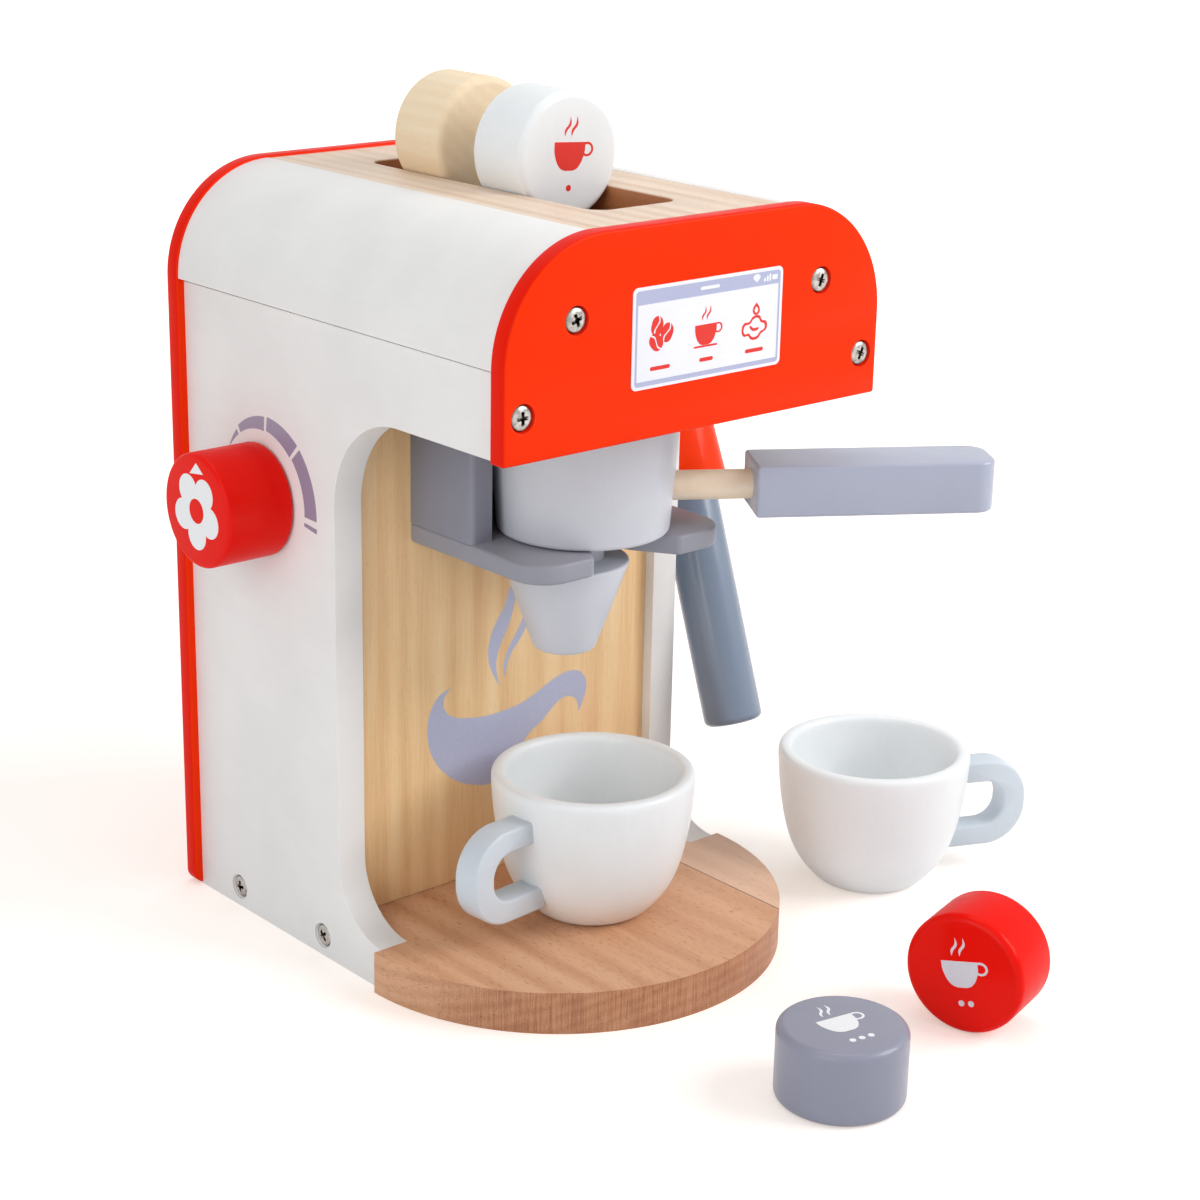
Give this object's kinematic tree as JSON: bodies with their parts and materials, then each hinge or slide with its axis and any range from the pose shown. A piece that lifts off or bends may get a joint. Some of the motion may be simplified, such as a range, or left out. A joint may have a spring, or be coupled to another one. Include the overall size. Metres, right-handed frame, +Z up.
{
  "type": "toy coffee maker",
  "caption": "Wooden toy coffee maker with a turning knob, tilting steam wand, swinging portafilter, loose cups and capsules.",
  "frame": {"origin": "On the floor, under the middle of the box round the whole set at rest", "axes": "+X to the right as seen from the front, +Y to the back, +Z up"},
  "size_m": [0.2916, 0.2952, 0.3063],
  "materials": {
    "beech": "oiled beech, satin",
    "pale_wood": "clear lacquered light wood, satin",
    "white_paint": "white lacquer on wood, satin",
    "red_paint": "orange-red lacquer on wood, glossy",
    "dark_grey_paint": "dark grey lacquer on wood, satin",
    "mid_grey_paint": "grey lacquer on wood, satin",
    "light_grey_paint": "light grey lacquer on wood, satin",
    "blue_paint": "slate blue lacquer on wood, satin",
    "handle_paint": "pale blue-grey lacquer on wood, satin",
    "printed_film": "printed film, satin",
    "screw_steel": "zinc-plated steel"
  },
  "bodies": {
    "housing": {"base_board": "beech", "side_panel_left": "white_paint", "side_panel_right": "white_paint", "back_panel": "red_paint", "inner_wall": "pale_wood", "head_floor": "pale_wood", "top_board": "pale_wood", "shoulder_left": "white_paint", "shoulder_right": "white_paint", "front_panel": "red_paint", "display_plate": "printed_film", "brew_block": "dark_grey_paint", "fork_plate": "mid_grey_paint", "screw_front_shoulder_left": "screw_steel", "screw_front_side_left": "screw_steel", "screw_back_shoulder_left": "screw_steel", "screw_back_upper_left": "screw_steel", "screw_back_lower_left": "screw_steel", "screw_base_front_left": "screw_steel", "screw_base_back_left": "screw_steel", "screw_front_shoulder_right": "screw_steel", "screw_front_side_right": "screw_steel", "screw_back_shoulder_right": "screw_steel", "screw_back_upper_right": "screw_steel", "screw_back_lower_right": "screw_steel", "screw_base_front_right": "screw_steel", "screw_base_back_right": "screw_steel"},
    "knob_set": {"knob": "red_paint", "knob_axle": "pale_wood", "knob_retainer": "pale_wood"},
    "wand_set": {"steam_wand": "blue_paint", "wand_holder": "red_paint", "wand_axle": "screw_steel", "wand_washer": "screw_steel", "wand_retainer": "screw_steel"},
    "filter_neck": {"portafilter_neck": "light_grey_paint"},
    "filter_set": {"portafilter_cup": "light_grey_paint", "portafilter_spout": "light_grey_paint", "portafilter_dowel": "pale_wood", "portafilter_grip": "mid_grey_paint"},
    "inner_cup_set": {"cup_inner": "white_paint", "cup_inner_handle": "handle_paint"},
    "outer_cup_set": {"cup_outer": "white_paint", "cup_outer_handle": "handle_paint"},
    "white_capsule": {"capsule_white": "white_paint"},
    "wood_capsule": {"capsule_wood": "pale_wood"},
    "grey_capsule": {"capsule_grey": "mid_grey_paint"},
    "red_capsule": {"capsule_red": "red_paint"}
  },
  "joints": [
    {"name": "knob_turn", "type": "hinge", "parent": "housing", "child": "knob_set", "pos_m": [-0.11878, 0.09488, 0.1637], "axis": [-1, 0, 0], "continuous": true},
    {"name": "wand_swing", "type": "hinge", "parent": "housing", "child": "wand_set", "pos_m": [0.05642, 0.07468, 0.172], "axis": [1, 0, 0], "range_deg": [-40, 50]},
    {"name": "filter_pull", "type": "slide", "parent": "housing", "child": "filter_neck", "axis": [0, -1, 0], "range_m": [0, 0.12]},
    {"name": "filter_turn", "type": "hinge", "parent": "filter_neck", "child": "filter_set", "pos_m": [-0.03938, 0.01558, 0.1577], "axis": [0, 0, 1], "range_deg": [-145, 30]},
    {"name": "inner_cup_lift", "type": "slide", "parent": "housing", "child": "inner_cup_set", "axis": [0, 0, 1], "range_m": [0, 0.035]},
    {"name": "outer_cup_lift", "type": "slide", "parent": "housing", "child": "outer_cup_set", "axis": [0, 0, 1], "range_m": [0, 0.08]},
    {"name": "white_capsule_lift", "type": "slide", "parent": "housing", "child": "white_capsule", "axis": [0, 0, 1], "range_m": [0, 0.08]},
    {"name": "wood_capsule_lift", "type": "slide", "parent": "housing", "child": "wood_capsule", "axis": [0, 0, 1], "range_m": [0, 0.08]},
    {"name": "grey_capsule_lift", "type": "slide", "parent": "housing", "child": "grey_capsule", "axis": [0, 0, 1], "range_m": [0, 0.08]},
    {"name": "red_capsule_lift", "type": "slide", "parent": "housing", "child": "red_capsule", "axis": [0, 0, 1], "range_m": [0, 0.08]}
  ]
}
